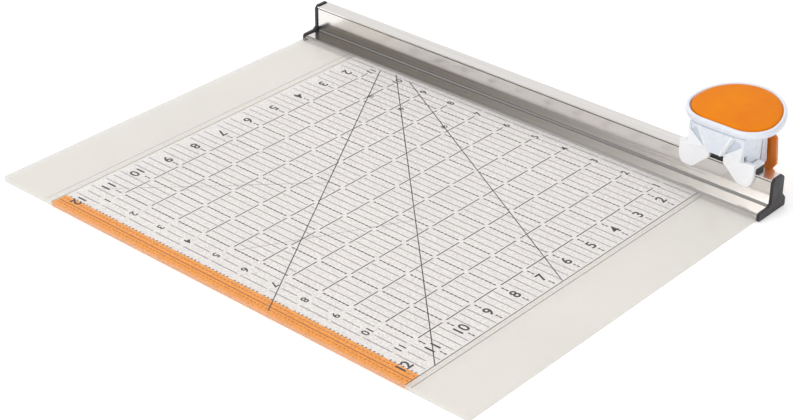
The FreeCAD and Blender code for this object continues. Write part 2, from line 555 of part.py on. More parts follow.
pocket(guard, circle(guard, "guard_bore", "YZ_Plane", [(cx, cz)], "dims.hinge_pin+0.06"),
       "80", symmetric=True)
pin = doc.addObject("Part::Cylinder", "hinge_pin_rod")
pin.Label = "hinge_pin"
pin.setExpression("Radius", "dims.hinge_pin")
pin.setExpression("Height", "2*dims.lug_half-0.2")
pin.Placement = FreeCAD.Placement(V(0, 0, 0), FreeCAD.Rotation(Y, 90))
pin.setExpression("Placement.Base.x", "dims.carriage_x-dims.lug_half+0.1")
pin.setExpression("Placement.Base.y", "dims.hinge_back")
pin.setExpression("Placement.Base.z", "dims.hinge_height")
parts.append(pin)

# ---------------------------------------------------------------- checks and export
doc.recompute()
for thing in doc.Objects:
    if "Invalid" in thing.State or "Error" in thing.State:
        raise RuntimeError(f"{thing.Label} failed: {thing.State}")
for part in parts:
    if part.Shape.isNull() or not part.Shape.isValid():
        raise RuntimeError(f"{part.Label} has no valid shape")
os.makedirs("parts", exist_ok=True)
for part in parts:
    part.Shape.exportStep(f"parts/{part.Label}.step")
print(len(parts), "sub-parts written")
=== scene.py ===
import math
import bmesh
import bpy
from mathutils import Matrix, Vector


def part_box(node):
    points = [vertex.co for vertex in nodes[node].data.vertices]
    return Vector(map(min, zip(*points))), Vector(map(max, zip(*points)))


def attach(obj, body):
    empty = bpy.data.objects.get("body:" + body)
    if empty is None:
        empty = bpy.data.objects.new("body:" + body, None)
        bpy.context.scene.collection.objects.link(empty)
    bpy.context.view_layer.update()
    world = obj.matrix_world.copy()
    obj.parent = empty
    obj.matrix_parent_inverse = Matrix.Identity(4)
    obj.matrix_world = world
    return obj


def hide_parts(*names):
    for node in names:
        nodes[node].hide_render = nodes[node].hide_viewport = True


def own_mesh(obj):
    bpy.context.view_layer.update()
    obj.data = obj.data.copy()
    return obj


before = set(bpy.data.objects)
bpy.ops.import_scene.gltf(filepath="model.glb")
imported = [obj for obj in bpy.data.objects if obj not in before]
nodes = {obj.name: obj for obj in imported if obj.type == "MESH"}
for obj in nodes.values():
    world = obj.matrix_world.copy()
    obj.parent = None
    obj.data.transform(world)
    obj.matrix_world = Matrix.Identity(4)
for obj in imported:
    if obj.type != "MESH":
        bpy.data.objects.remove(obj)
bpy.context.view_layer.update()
INCH = 0.0254
MM = 0.001
FOOT_GAP = 0.2 * MM
FLANGE_THICK = 1.8 * MM


# ------------------------------------------------------------------ places from the frame
plate_low, plate_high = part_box("ruler_plate")
rail_low, rail_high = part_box("guide_rail")
blade_low, blade_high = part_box("rotary_blade")
cut_y = rail_high[1]
print_z = plate_high[2]
flange_z = print_z + FLANGE_THICK
wall_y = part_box("guide_foot_left")[1][1] + FOOT_GAP
carriage_x = (blade_low[0] + blade_high[0]) / 2
hub_z = (blade_low[2] + blade_high[2]) / 2


# ------------------------------------------------------------------ material helpers
def new_material(name):
    """An empty node material with one Principled shader."""
    made = bpy.data.materials.new(name)
    made.use_nodes = True
    tree = made.node_tree
    tree.nodes.clear()
    out = tree.nodes.new("ShaderNodeOutputMaterial")
    shader = tree.nodes.new("ShaderNodeBsdfPrincipled")
    tree.links.new(shader.outputs[0], out.inputs["Surface"])
    return made, tree, shader


def linear(rgb):
    """Display values from 0 to 255 as linear light."""
    return tuple(((c / 255 + 0.055) / 1.055) ** 2.4 if c > 10 else c / 255 / 12.92
                 for c in rgb) + (1.0,)


def stretched(tree, scale=(1, 1, 1)):
    """Object coordinates, scaled along each axis."""
    coords = tree.nodes.new("ShaderNodeTexCoord")
    mapping = tree.nodes.new("ShaderNodeMapping")
    mapping.inputs["Scale"].default_value = scale
    tree.links.new(coords.outputs["Object"], mapping.inputs["Vector"])
    return mapping.outputs["Vector"]


def noise(tree, scale, vector, detail=3.0, rough=0.5):
    """Soft random values near 0.5; scale is how many patches fit in a metre."""
    tex = tree.nodes.new("ShaderNodeTexNoise")
    tex.inputs["Scale"].default_value = scale
    tex.inputs["Detail"].default_value = detail
    tex.inputs["Roughness"].default_value = rough
    tree.links.new(vector, tex.inputs["Vector"])
    return tex.outputs["Fac"]


def ramp(tree, fac, stops):
    """Colours at the (position, colour) stops, blended between them."""
    node = tree.nodes.new("ShaderNodeValToRGB")
    while len(node.color_ramp.elements) < len(stops):
        node.color_ramp.elements.new(0.5)
    for element, (at, colour) in zip(node.color_ramp.elements, stops):
        element.position = at
        element.color = colour
    tree.links.new(fac, node.inputs["Fac"])
    return node.outputs["Color"]


def spread(tree, fac, low, high):
    """The middle of a noise's range, run from low to high."""
    node = tree.nodes.new("ShaderNodeMapRange")
    node.inputs["From Min"].default_value = 0.3
    node.inputs["From Max"].default_value = 0.7
    node.inputs["To Min"].default_value = low
    node.inputs["To Max"].default_value = high
    tree.links.new(fac, node.inputs["Value"])
    return node.outputs["Result"]


def relief(tree, shader, fac, strength, depth):
    """Fine bumps, depth metres high."""
    node = tree.nodes.new("ShaderNodeBump")
    node.inputs["Strength"].default_value = strength
    node.inputs["Distance"].default_value = depth
    tree.links.new(fac, node.inputs["Height"])
    tree.links.new(node.outputs["Normal"], shader.inputs["Normal"])


def off_line(tree, vector, point, across):
    """Distance from the line through the point; across is 0 along the line, else 1."""
    shift = tree.nodes.new("ShaderNodeVectorMath")
    shift.operation = "SUBTRACT"
    shift.inputs[1].default_value = point
    tree.links.new(vector, shift.inputs[0])
    flat = tree.nodes.new("ShaderNodeVectorMath")
    flat.operation = "MULTIPLY"
    flat.inputs[1].default_value = across
    tree.links.new(shift.outputs["Vector"], flat.inputs[0])
    far = tree.nodes.new("ShaderNodeVectorMath")
    far.operation = "LENGTH"
    tree.links.new(flat.outputs["Vector"], far.inputs[0])
    return far.outputs["Value"]


def dimmed(tree, colour, value, start, end, level_start, level_end):
    """The colour times a level that runs between two values of an input."""
    level = tree.nodes.new("ShaderNodeMapRange")
    level.inputs["From Min"].default_value = start
    level.inputs["From Max"].default_value = end
    level.inputs["To Min"].default_value = level_start
    level.inputs["To Max"].default_value = level_end
    tree.links.new(value, level.inputs["Value"])
    scaled = tree.nodes.new("ShaderNodeVectorMath")
    scaled.operation = "SCALE"
    tree.links.new(colour, scaled.inputs[0])
    tree.links.new(level.outputs["Result"], scaled.inputs["Scale"])
    return scaled.outputs["Vector"]


def shade(rgb, factor):
    """Display values, lighter or darker."""
    return tuple(min(255, c * factor) for c in rgb)


def moulded(name, rgb, rough, grain=1400.0, depth=0.00003, strength=0.25, vary=0.03,
            coat=0.0, sub=0.0):
    """Moulded plastic: faint tone changes, spark-eroded grain, uneven gloss."""
    made, tree, shader = new_material(name)
    plain = stretched(tree)
    tone = noise(tree, 60.0, plain, 4.0)
    tree.links.new(ramp(tree, tone, [(0.3, linear(shade(rgb, 1 - vary))),
                                     (0.7, linear(shade(rgb, 1 + vary)))]),
                   shader.inputs["Base Color"])
    fine = noise(tree, grain, plain, 2.0)
    patch = noise(tree, 180.0, plain, 3.0)
    tree.links.new(spread(tree, patch, rough * 0.85, rough * 1.15), shader.inputs["Roughness"])
    relief(tree, shader, fine, strength, depth)
    shader.inputs["Coat Weight"].default_value = coat
    shader.inputs["Coat Roughness"].default_value = 0.08
    shader.inputs["Subsurface Weight"].default_value = sub
    shader.inputs["Subsurface Radius"].default_value = (0.002, 0.002, 0.002)
    return made


def brushed(name, rgb, rough, scale, strength=0.15, vary=0.04, painted_shade_lines=()):
    """Metal with fine parallel brushing; scale is small along the brushing. Each painted shade
    line is a line along X, (y, z, reach, level), and the metal within its reach is painted darker."""
    made, tree, shader = new_material(name)
    streak = noise(tree, 1.0, stretched(tree, scale), 5.0, 0.6)
    colour = ramp(tree, streak, [(0.25, linear(shade(rgb, 1 - vary))),
                                 (0.75, linear(shade(rgb, 1 + vary)))])
    for y, z, reach, level in painted_shade_lines:
        near = off_line(tree, stretched(tree), (0.0, y, z), (0.0, 1.0, 1.0))
        colour = dimmed(tree, colour, near, reach * 0.75, reach, level, 1.0)
    tree.links.new(colour, shader.inputs["Base Color"])
    tree.links.new(spread(tree, streak, rough * 0.8, rough * 1.25), shader.inputs["Roughness"])
    relief(tree, shader, streak, strength, 0.00002)
    shader.inputs["Metallic"].default_value = 1.0
    return made


def ink(name, rgb, rough=0.45, alpha=1.0):
    """Screen-printed ink: slightly uneven cover."""
    made, tree, shader = new_material(name)
    cover = noise(tree, 900.0, stretched(tree), 3.0)
    tree.links.new(ramp(tree, cover, [(0.35, linear(shade(rgb, 0.93))),
                                      (0.65, linear(shade(rgb, 1.07)))]),
                   shader.inputs["Base Color"])
    tree.links.new(spread(tree, cover, rough * 0.9, rough * 1.1), shader.inputs["Roughness"])
    shader.inputs["Alpha"].default_value = alpha
    return made


# ------------------------------------------------------------------ materials
# The plate's grey base colour is partly its own tint and partly painted shade, standing for the
# shadow it would cast on the floor beneath it.
acrylic, tree, shader = new_material("clear_acrylic")
haze = noise(tree, 9.0, stretched(tree), 2.0)
tree.links.new(ramp(tree, haze, [(0.3, linear((196, 190, 180))),
                                 (0.7, linear((203, 197, 187)))]),
               shader.inputs["Base Color"])
tree.links.new(spread(tree, haze, 0.10, 0.16), shader.inputs["Roughness"])
shader.inputs["Alpha"].default_value = 0.33
shader.inputs["IOR"].default_value = 1.49

# Painted shade: the rail's metal is painted darker along the crease between its wall and flange,
# and along the flange's front edge.
PAINTED_SHADE_OFF, PAINTED_SHADE_REACH = 0.45 * MM, 1.1 * MM
rail_metal = brushed("rail_aluminium", (234, 231, 228), 0.17, (5.0, 1500.0, 1500.0), 0.08, 0.045,
                     painted_shade_lines=[(wall_y - PAINTED_SHADE_OFF, flange_z + PAINTED_SHADE_OFF, PAINTED_SHADE_REACH, 0.40),
                            (rail_low[1] + PAINTED_SHADE_OFF, flange_z - PAINTED_SHADE_OFF, PAINTED_SHADE_REACH, 0.52)])
cap_plastic = moulded("cap_plastic", (41, 37, 41), 0.5, grain=1100.0, depth=0.00004,
                      strength=0.35, vary=0.06)
screw_metal = brushed("screw_steel", (182, 182, 184), 0.28, (900.0, 900.0, 120.0))
# Near black: partly the block's own colour, partly painted shade for the dark space under the
# handle where the block sits.
block_plastic = moulded("block_plastic", (34, 34, 36), 0.45, grain=900.0, strength=0.3, vary=0.08)
glide_plastic = moulded("glide_plastic", (235, 235, 230), 0.4, grain=700.0)
SLEEK = {"depth": 0.00001, "strength": 0.08}
foot_plastic = moulded("foot_plastic", (250, 250, 254), 0.30, grain=700.0, **SLEEK, vary=0.008,
                       coat=0.25, sub=0.15)
shell_plastic = moulded("shell_plastic", (230, 236, 246), 0.28, grain=900.0, **SLEEK, vary=0.01,
                        coat=0.3, sub=0.1)
# The shell's own plastic painted lighter: a painted highlight on the raised ribs and wedges of the
# front.
fold_highlight_plastic = moulded("fold_highlight_plastic", (243, 246, 250), 0.28, grain=900.0, **SLEEK, vary=0.01,
                       coat=0.3, sub=0.1)
# A shaded copy of the shell's plastic: painted shade for the sheets inside the pockets.
pocket_shade_plastic = moulded("pocket_shade_plastic", (206, 214, 227), 0.4, grain=900.0, **SLEEK)
rim_plastic = moulded("rim_plastic", (230, 234, 243), 0.24, grain=900.0, depth=0.00001,
                      strength=0.06, vary=0.008, coat=0.35, sub=0.1)
guard_plastic = moulded("guard_plastic", (224, 121, 30), 0.32, grain=1000.0, depth=0.00002,
                        strength=0.15, coat=0.2, sub=0.1)
nut_plastic = moulded("nut_plastic", (40, 40, 43), 0.5, grain=800.0, strength=0.35, vary=0.08)
post_metal = brushed("post_steel", (196, 197, 200), 0.2, (1500.0, 1500.0, 80.0), 0.08)
spring_metal = brushed("spring_steel", (158, 158, 162), 0.32, (700.0, 700.0, 700.0), 0.1)
bolt_metal = brushed("bolt_steel", (178, 180, 184), 0.24, (900.0, 300.0, 900.0), 0.1)

blade_metal, tree, shader = new_material("blade_steel")
radius = off_line(tree, stretched(tree), (carriage_x, 0.0, hub_z), (1.0, 0.0, 1.0))
rings = tree.nodes.new("ShaderNodeTexNoise")
rings.noise_dimensions = "1D"
rings.inputs["Scale"].default_value = 9000.0
tree.links.new(radius, rings.inputs["W"])
tree.links.new(ramp(tree, rings.outputs["Fac"], [(0.3, linear((168, 171, 176))),
                                                 (0.7, linear((200, 203, 207)))]),
               shader.inputs["Base Color"])
tree.links.new(spread(tree, rings.outputs["Fac"], 0.18, 0.32), shader.inputs["Roughness"])
shader.inputs["Metallic"].default_value = 1.0

grip_rubber, tree, shader = new_material("grip_rubber")
plain = stretched(tree)
soft = noise(tree, 45.0, plain)
tree.links.new(ramp(tree, soft, [(0.3, linear((230, 124, 7))),
                                 (0.7, linear((238, 136, 10)))]),
               shader.inputs["Base Color"])
cells = tree.nodes.new("ShaderNodeTexVoronoi")
cells.inputs["Scale"].default_value = 1900.0
tree.links.new(plain, cells.inputs["Vector"])
tree.links.new(spread(tree, soft, 0.42, 0.55), shader.inputs["Roughness"])
relief(tree, shader, cells.outputs["Distance"], 0.25, 0.00003)
shader.inputs["Specular IOR Level"].default_value = 0.10
shader.inputs["Subsurface Weight"].default_value = 0.1
shader.inputs["Subsurface Radius"].default_value = (0.003, 0.001, 0.0005)

ink_dark = ink("ink_dark", (70, 66, 66))
ink_mid = ink("ink_mid", (92, 88, 88))
ink_light = ink("ink_light", (122, 118, 120))
ink_ground = ink("ink_ground", (243, 238, 241), 0.4, 0.45)
# Painted shade for the groove along the rail's front wall.
groove_shade_dark = brushed("groove_shade_dark", (52, 50, 50), 0.5, (5.0, 900.0, 900.0))
ink_figure = ink("ink_figure", (66, 63, 64))
# Printed orange on the plate's top; on the plate's front face the same colour is a painted glow.
seam_ink_and_edge_glow = ink("seam_ink_and_edge_glow", (238, 150, 42), 0.35, 0.93)
seam_line = ink("seam_line", (176, 96, 36))


# ------------------------------------------------------------------ CAD nodes
def soften(obj, angle):
    """Rounds the edges that turn by more than the angle, in degrees."""
    edge = obj.modifiers.new("edge", "BEVEL")
    edge.width = 0.3 * MM
    edge.segments = 2
    edge.limit_method = "ANGLE"
    edge.angle_limit = math.radians(angle)


dress = {
    "ruler_plate": acrylic, "guide_rail": rail_metal, "end_cap_left": cap_plastic,
    "end_cap_right": cap_plastic, "rail_screws": screw_metal, "slide_block": block_plastic,
    "top_glide_pads": glide_plastic, "side_glide_pads": glide_plastic,
    "guide_foot_left": foot_plastic, "guide_foot_right": foot_plastic,
    "foot_ledges": foot_plastic, "edge_runners": block_plastic,
    "foot_screws": screw_metal, "guide_posts": post_metal, "return_spring_left": spring_metal,
    "return_spring_right": spring_metal, "handle_shell": shell_plastic,
    "handle_rim": rim_plastic, "grip_pad": grip_rubber, "handle_screws": screw_metal,
    "blade_holder": shell_plastic, "rotary_blade": blade_metal, "axle_bolt": bolt_metal,
    "wave_washer": spring_metal, "blade_nut": nut_plastic, "blade_guard": guard_plastic,
    "hinge_pin": post_metal,
}
for name, made in dress.items():
    node = nodes[name]
    if not node.material_slots:
        node.data.materials.append(made)
    for place in node.material_slots:
        place.material = made
# The plate casts no shadow; the painted shade in its base colour stands in for that shadow.
nodes["ruler_plate"].visible_shadow = False
for name in ("handle_shell", "blade_holder", "blade_guard", "slide_block", "foot_ledges",
             "edge_runners", "end_cap_left", "end_cap_right", "ruler_plate"):
    soften(nodes[name], 35)


# ------------------------------------------------------------------ piece helpers
def piece(name, mesh, material, body, smooth=False):
    """A new object that rides on a body and takes its finish from a slot."""
    obj = bpy.data.objects.new(name, mesh)
    bpy.context.collection.objects.link(obj)
    mesh.materials.append(material)
    for polygon in mesh.polygons:
        polygon.use_smooth = smooth
    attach(obj, body)
    return obj


def from_bmesh(bm, name):
    mesh = bpy.data.meshes.new(name)
    bmesh.ops.recalc_face_normals(bm, faces=bm.faces)
    bm.to_mesh(mesh)
    bm.free()
    return mesh


def skin(bm, rings):
    """Quads between each ring of vertices and the next."""
    for one, two in zip(rings[:-1], rings[1:]):
        for k in range(len(one)):
            n = (k + 1) % len(one)
            bm.faces.new((one[k], one[n], two[n], two[k]))


def closed(bm, rings):
    """A skin with a face at each end."""
    skin(bm, rings)
    bm.faces.new(rings[0])
    bm.faces.new(rings[-1])


# ------------------------------------------------------------------ printed scale
# The grid is 12 by 12 inches. u counts inches along the rail from the grid's left edge,
# and v counts inches away from the cutting edge. A GAP is left open at each crossing, and
# each kind of ink has its own layer above the plate.
GRID_LEFT = 5.902
grid_x = (plate_low[0] + plate_high[0]) / 2 - GRID_LEFT * INCH
seam_v = (cut_y - plate_low[1]) / INCH
U_MAX, V_MIN, V_MAX = 12, 1.08, 12
GAP = 0.075
SMALL_ROW = 11.5
LAYER = 0.01 * MM
GROUND, BAND, LINES, FINE, ANGLES, FIGURES = (LAYER * n for n in (1, 2, 4, 5, 6, 7))
QUARTER_WIDE, ROW_WIDE, COLUMN_WIDE, TICK_WIDE = 0.62 * MM, 0.58 * MM, 0.80 * MM, 1.1 * MM
ANGLE_WIDE, MIRROR_WIDE, EDGE_WIDE, SEAM_WIDE = 0.68 * MM, 0.34 * MM, 0.4 * MM, 0.6 * MM


def at_print(u, v, lift):
    """The place u, v on the plate's top, in a layer of ink."""
    return Vector((grid_x + u * INCH, cut_y - v * INCH, print_z + lift))


def stroke(bm, start, end, width, lift=LINES):
    """A flat line from one (u, v) to another."""
    a, b = at_print(*start, lift), at_print(*end, lift)
    side = Vector((-(b - a).y, (b - a).x, 0)).normalized() * width / 2
    bm.faces.new([bm.verts.new(p) for p in (a - side, b - side, b + side, a + side)])


def printed(name, bm, ink_used):
    """Ink on the plate; it casts no shadow."""
    made = piece(name, from_bmesh(bm, name), ink_used, "ruler")
    made.visible_shadow = False
    return made


field = bmesh.new()
stroke(field, (0.0, (V_MIN + V_MAX) / 2), (U_MAX, (V_MIN + V_MAX) / 2), (V_MAX - V_MIN) * INCH,
       GROUND)
printed("print_ground", field, ink_ground)

# Quarter lines and inch rows. The inch rows stop at the columns of large numerals, and
# the lines at SMALL_ROW stop at the small ones.
light = bmesh.new()
rows = bmesh.new()
for quarter in range(5, 4 * V_MAX):
    v = quarter / 4
    for u in range(U_MAX):
        if v == SMALL_ROW:
            stroke(light, (u + 0.20, v), (u + 0.72, v), QUARTER_WIDE)
        elif quarter % 4:
            stroke(light, (u + 0.05, v), (u + 0.95, v), QUARTER_WIDE)
        elif u == 0:
            stroke(rows, (0.74, v), (1 - GAP, v), ROW_WIDE)
        elif u == U_MAX - 1:
            stroke(rows, (u + GAP, v), (u + 0.30, v), ROW_WIDE)
            stroke(rows, (u + 0.74, v), (u + 1 - GAP, v), ROW_WIDE)
        else:
            stroke(rows, (u + GAP, v), (u + 1 - GAP, v), ROW_WIDE)

# Inch columns; the first inch starts below its numerals.
dark = bmesh.new()
for u in range(1, U_MAX):
    for v in range(1, V_MAX - 1):
        first = 1.64 if v == 1 else v + GAP
        stroke(dark, (u, first), (u, v + 1 - GAP), COLUMN_WIDE)

# Eighth marks across the inch rows, apart from the places of the large numerals.
for v in range(2, V_MAX + 1):
    for eighth in range(8 * U_MAX):
        u = eighth / 8
        numeral = v < V_MAX and (u < 0.7 or U_MAX - 0.68 < u < U_MAX - 0.27)
        if eighth % 8 and not numeral:
            stroke(rows, (u, v - 0.025), (u, v + 0.025), TICK_WIDE)

# Lines along the edges of the grid.
for u, share in ((-0.07, 1.0), (-0.29, 0.75), (U_MAX, 1.5), (U_MAX + 0.17, 1.0)):
    stroke(dark, (u, V_MIN), (u, seam_v), share * EDGE_WIDE)
stroke(light, (-0.07, V_MIN), (U_MAX, V_MIN), EDGE_WIDE)
printed("print_quarter_lines", light, ink_light)
printed("print_inch_lines", dark, ink_dark)
printed("print_inch_rows", rows, ink_mid)

# Lines at 60, 45 and 30 degrees to the rail, and fainter ones that lean the other way.
angles = bmesh.new()
for start, end in (((1.16, 1.28), (7.65, 12.41)), ((1.66, 1.15), (12.0, 11.5)),
                   ((2.26, 1.25), (11.98, 6.78))):
    stroke(angles, start, end, ANGLE_WIDE, ANGLES)
printed("print_angle_lines", angles, ink_dark)
mirrored = bmesh.new()
for start, end in (((5.14, 11.07), (7.63, 6.71)), ((0.4, 11.2), (4.6, 7.0))):
    stroke(mirrored, start, end, MIRROR_WIDE, FINE)
printed("print_mirror_lines", mirrored, ink_light)


def figures(entries, name, size, bold):
    """One flat mesh of numerals; each entry is (text, u, v, turn in degrees). Bold is how
    far the outline grows."""
    whole = bmesh.new()
    for text, u, v, turn in entries:
        curve = bpy.data.curves.new("figure", "FONT")
        curve.body = text
        curve.size = size
        curve.align_x = "CENTER"
        curve.align_y = "CENTER"
        curve.offset = bold
        obj = bpy.data.objects.new("figure", curve)
        mesh = bpy.data.meshes.new_from_object(obj)
        mesh.transform(Matrix.Translation(at_print(u, v, FIGURES))
                       @ Matrix.Rotation(math.radians(turn), 4, "Z"))
        whole.from_mesh(mesh)
        bpy.data.objects.remove(obj)
        bpy.data.curves.remove(curve)
        bpy.data.meshes.remove(mesh)
    return printed(name, whole, ink_figure)


large = [(str(n), 11.52, n, 90) for n in range(2, 13)]
large += [(str(n), 0.49 if n < 10 else 0.41, n - 0.01, -90) for n in range(2, 13)]
figures(large, "print_large_figures", 10.6 * MM, 0.22 * MM)
small = [(str(n), U_MAX - n, 1.47, 90) for n in range(1, U_MAX)]
small += [(str(n), n - 0.05, SMALL_ROW, -90) for n in range(1, U_MAX)]
figures(small, "print_small_figures", 7.8 * MM, 0.16 * MM)
figures([("60", 2.04, 2.67, 30), ("45", 3.19, 2.67, 45), ("30", 4.78, 2.68, 60)],
        "print_angle_figures", 4.8 * MM, 0.12 * MM)

# The seam band covers the strip past the grid, and a painted glow of its colour turns down over
# the plate's front face, for the band seen through the clear edge.
band_from = V_MAX + 0.02
band_v = (band_from + seam_v) / 2
band_left, band_right = -0.05, U_MAX - 0.01
band = bmesh.new()
stroke(band, (band_left, band_v), (band_right, band_v), (seam_v - band_from) * INCH, BAND)
front = [(band_left, 0.1 * MM), (band_right, 0.1 * MM), (band_right, print_z),
         (band_left, print_z)]
band.faces.new([band.verts.new((grid_x + u * INCH, plate_low[1] + LAYER, z)) for u, z in front])
printed("seam_band", band, seam_ink_and_edge_glow)
lines = bmesh.new()
stroke(lines, (0.0, band_v), (U_MAX - 0.02, band_v), COLUMN_WIDE)
for eighth in range(8 * U_MAX):
    for v in (V_MAX + 0.13, V_MAX + 0.36):
        stroke(lines, (eighth / 8, v), (eighth / 8 + 0.075, v), SEAM_WIDE, FINE)
printed("seam_band_lines", lines, seam_line)

# ------------------------------------------------------------------ rail groove: a dark strip of painted shade
GROOVE_SHADE_DEEP, GROOVE_SHADE_HIGH, GROOVE_SHADE_DROP = 0.40 * MM, 0.72 * MM, 1.4 * MM
groove_shade_strip = bmesh.new()
bmesh.ops.create_cube(groove_shade_strip, size=1.0)
bmesh.ops.bevel(groove_shade_strip, geom=groove_shade_strip.edges[:], offset=0.08, segments=2, affect="EDGES")
bmesh.ops.scale(groove_shade_strip, verts=groove_shade_strip.verts,
                vec=(rail_high[0] - rail_low[0], GROOVE_SHADE_DEEP, GROOVE_SHADE_HIGH))
bmesh.ops.translate(groove_shade_strip, verts=groove_shade_strip.verts,
                    vec=(0.0, wall_y + GROOVE_SHADE_DEEP * 0.55, rail_high[2] - GROOVE_SHADE_DROP))
piece("rail_groove_shade", from_bmesh(groove_shade_strip, "rail_groove_shade"), groove_shade_dark, "ruler")

# ------------------------------------------------------------------ grip pad and rim
# The grip lies tilted about X. Its outline has a straight front, as a share of half the
# width, and front corners, as a share of the depth.
TILT = math.radians(7.55)
PAD_FLAT, PAD_CORNER = 0.356, 0.360
tilt_in = Matrix.Rotation(-TILT, 3, "X")
tilt_out = Matrix.Rotation(TILT, 3, "X")


def tilted_box(name):
    """The node's lowest and highest corners in the tilted frame of the grip."""
    spots = [tilt_in @ v.co for v in nodes[name].data.vertices]
    return ([min(p[i] for p in spots) for i in range(3)],
            [max(p[i] for p in spots) for i in range(3)])


def egg_loop(low, high, count=160):
    """Egg outline that fills the box: short straight front, elliptic corners and rear."""
    half = (high[0] - low[0]) / 2
    middle = (high[0] + low[0]) / 2
    flat = half * PAD_FLAT
    corner = (high[1] - low[1]) * PAD_CORNER
    rear = (high[1] - low[1]) - corner
    turns = count // 4
    side = [(flat * k / 10, 0.0) for k in range(10)]
    for k in range(turns):
        turn = math.pi / 2 * k / turns
        side.append((flat + (half - flat) * math.sin(turn), corner * (1 - math.cos(turn))))
    for k in range(turns + 1):
        turn = math.pi / 2 * k / turns
        side.append((half * math.cos(turn), corner + rear * math.sin(turn)))
    other = [(-x, y) for x, y in reversed(side[1:-1])]
    return [(middle + x, low[1] + y) for x, y in side + other]


def inset(loop, distance):
    """Moves each point of a counter-clockwise loop inwards along its normal."""
    count = len(loop)
    moved = []
    for k in range(count):
        before, after = loop[k - 1], loop[(k + 1) % count]
        along = Vector((after[0] - before[0], after[1] - before[1])).normalized()
        moved.append((loop[k][0] - along.y * distance, loop[k][1] + along.x * distance))
    return moved


def shrunk(loop, middle, share):
    """Draws each point towards the middle by a share of its distance."""
    return [(middle[0] + (x - middle[0]) * (1 - share), middle[1] + (y - middle[1]) * (1 - share))
            for x, y in loop]


def lifted(bm, loop, height):
    """The loop's vertices at a height in the tilted frame."""
    return [bm.verts.new(tilt_out @ Vector((x, y, height))) for x, y in loop]


# The rim is a rounded ring; its steps are (inset, height) shares of its width and height.
rim_a, rim_b = tilted_box("handle_rim")
pad_a, pad_b = tilted_box("grip_pad")
lip = rim_b[2] - rim_a[2]
rim_loop = egg_loop(rim_a, rim_b)
wide = (rim_b[0] - rim_a[0] - pad_b[0] + pad_a[0]) / 2
ring_steps = [(0.5, 0.0), (0.18, 0.03), (0.05, 0.12), (0.0, 0.30), (0.0, 0.52), (0.03, 0.68),
              (0.12, 0.83), (0.28, 0.94), (0.46, 0.99), (0.62, 0.99), (0.78, 0.93),
              (0.87, 0.84), (0.90, 0.72), (0.90, 0.36)]
bm = bmesh.new()
closed(bm, [lifted(bm, inset(rim_loop, wide * a), rim_a[2] + lip * b) for a, b in ring_steps])
rim_mesh = from_bmesh(bm, "handle_rim_ring")
rim_piece = piece("handle_rim_ring", rim_mesh, rim_plastic, "handle", True)
rim_mesh.set_sharp_from_angle(angle=math.radians(50))
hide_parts("handle_rim")

# The pad is a low dome; its steps are (shrink, height) shares, with the height over the
# CAD pad's thickness.
thick = pad_b[2] - pad_a[2]
pad_loop = egg_loop(pad_a, pad_b)
reach = (pad_b[1] - pad_a[1]) / 2
crown = [(0.0, 0.0), (0.0, 0.62), (0.008, 0.80), (0.025, 0.92), (0.06, 1.00), (0.12, 1.05),
         (0.22, 1.10), (0.36, 1.15), (0.52, 1.19), (0.70, 1.22)]
centre = ((pad_a[0] + pad_b[0]) / 2, pad_a[1] + reach * 0.98)
bm = bmesh.new()
rings = [lifted(bm, shrunk(pad_loop, centre, share), pad_a[2] + thick * rise)
         for share, rise in crown]
skin(bm, rings)
bm.faces.new(rings[0])
top = lifted(bm, [centre], pad_a[2] + thick * 1.24)[0]
for k in range(len(pad_loop)):
    bm.faces.new((rings[-1][k - 1], rings[-1][k], top))
pad_mesh = from_bmesh(bm, "grip_pad_dome")
pad_piece = piece("grip_pad_dome", pad_mesh, grip_rubber, "handle", True)
pad_mesh.set_sharp_from_angle(angle=math.radians(60))
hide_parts("grip_pad")

# ------------------------------------------------------------------ folds of the shell front
# The front is measured from the middle of its lower edge, the sill.
shell_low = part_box("handle_shell")[0]
front_y = shell_low[1] + 0.9 * MM
sill_z = shell_low[2] + 9.0 * MM


def facet(bm, ends):
    """A closed solid between two loops of (x, y, z) corners, in millimetres from the
    middle of the sill."""
    closed(bm, [[bm.verts.new((carriage_x + x * MM, front_y + y * MM, sill_z + z * MM))
                 for x, y, z in end] for end in ends])


# On each side of the front: a raised rib and a wedge over the foot, painted lighter as a
# highlight, and a shallow pocket, lined with a darker sheet of painted shade.
folds = bmesh.new()
pockets = bmesh.new()
for sign in (-1, 1):
    low, high = Vector((4.9, 0.3)), Vector((13.0, 15.9))
    run = (high - low).normalized()
    out = Vector((run.y, -run.x))
    rib = []
    for end in (low, high):
        points = [(end + out * across, y) for across, y in
                  ((-1.8, -0.5), (-0.5, -2.6), (0.5, -2.6), (1.8, 0.2))]
        rib.append([(sign * spot.x, y, spot.y) for spot, y in points])
    facet(folds, rib)
    wedge = [(6.9, -0.1, 0.5), (20.5, -0.1, 11.4), (20.5, -1.9, 0.2)]
    facet(folds, [[(sign * x, y, z) for x, y, z in wedge],
                  [(sign * x, 0.3, z) for x, y, z in wedge]])
    pocket = [(8.4, 2.0), (19.2, 10.4), (17.0, 13.0), (13.6, 12.6)]
    facet(pockets, [[(sign * x, 0.66, z) for x, z in pocket],
                    [(sign * x, 0.9, z) for x, z in pocket]])
folds_piece = piece("shell_front_folds", from_bmesh(folds, "shell_front_folds"), fold_highlight_plastic,
                    "handle")
soften(folds_piece, 30)
piece("shell_front_pocket_shade", from_bmesh(pockets, "shell_front_pocket_shade"), pocket_shade_plastic,
      "handle")


